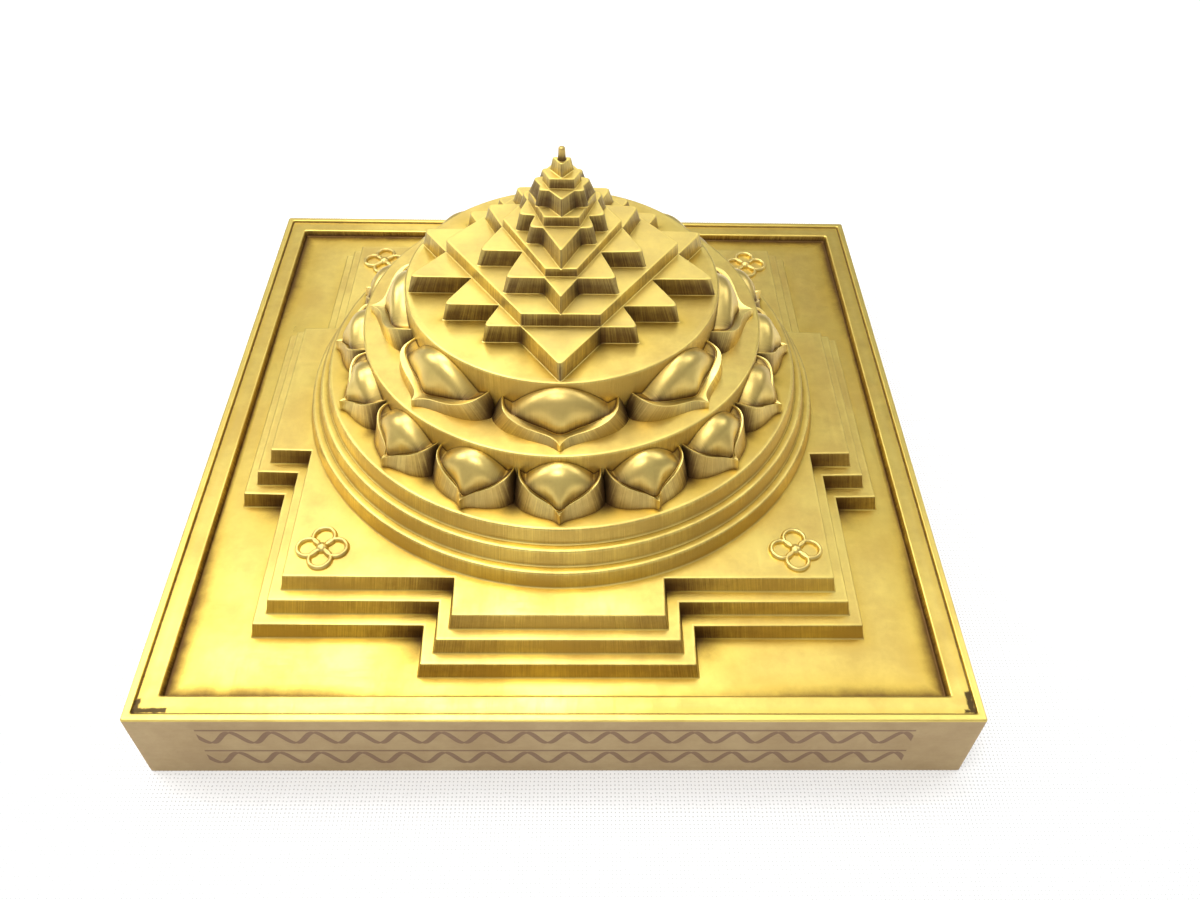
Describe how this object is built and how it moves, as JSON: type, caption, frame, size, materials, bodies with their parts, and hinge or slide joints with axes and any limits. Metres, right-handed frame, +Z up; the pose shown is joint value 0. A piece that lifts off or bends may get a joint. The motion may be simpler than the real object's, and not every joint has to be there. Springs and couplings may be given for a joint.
{
  "type": "meru shri yantra",
  "caption": "Brass altar pyramid: a square base with gated square steps, round girdles, lotus petal rings and stacked tiers of interlocking triangles that rise to a small pin.",
  "frame": {"origin": "centre of the base plate's underside, which stands on the table", "axes": "+Z up towards the pin at the top; the front faces -Y, with the largest downward triangle's tip over it; +X to the right seen from the front"},
  "size_m": [0.15, 0.15, 0.0835],
  "materials": {
    "satin_brass": "satin brass, fine milling lines, brown patina in the inner corners",
    "polished_brass": "polished brass with small pits",
    "dark_brass": "dull turned brass"
  },
  "bodies": {
    "root": {"base_plate": "satin_brass", "bhupura_lower": "satin_brass", "bhupura_middle": "satin_brass", "bhupura_upper": "satin_brass", "girdle_lower": "satin_brass", "girdle_middle": "satin_brass", "girdle_upper": "satin_brass", "outer_drum": "satin_brass", "inner_drum": "satin_brass", "star_14": "satin_brass", "hexagon_1": "satin_brass", "star_10_outer": "satin_brass", "hexagon_2": "satin_brass", "star_10_inner": "satin_brass", "hexagon_3": "satin_brass", "star_8": "satin_brass", "hexagon_4": "satin_brass", "trikona": "satin_brass", "ornament_front_left": "polished_brass", "ornament_front_right": "polished_brass", "ornament_rear_left": "polished_brass", "ornament_rear_right": "polished_brass", "outer_petal_01": "polished_brass", "outer_petal_02": "polished_brass", "outer_petal_03": "polished_brass", "outer_petal_04": "polished_brass", "outer_petal_05": "polished_brass", "outer_petal_06": "polished_brass", "outer_petal_07": "polished_brass", "outer_petal_08": "polished_brass", "outer_petal_09": "polished_brass", "outer_petal_10": "polished_brass", "outer_petal_11": "polished_brass", "outer_petal_12": "polished_brass", "outer_petal_13": "polished_brass", "outer_petal_14": "polished_brass", "outer_petal_15": "polished_brass", "outer_petal_16": "polished_brass", "inner_petal_01": "polished_brass", "inner_petal_02": "polished_brass", "inner_petal_03": "polished_brass", "inner_petal_04": "polished_brass", "inner_petal_05": "polished_brass", "inner_petal_06": "polished_brass", "inner_petal_07": "polished_brass", "inner_petal_08": "polished_brass", "bindu": "polished_brass", "tie_rod": "dark_brass", "tie_washer": "dark_brass", "tie_nut": "dark_brass"}
  },
  "joints": []
}
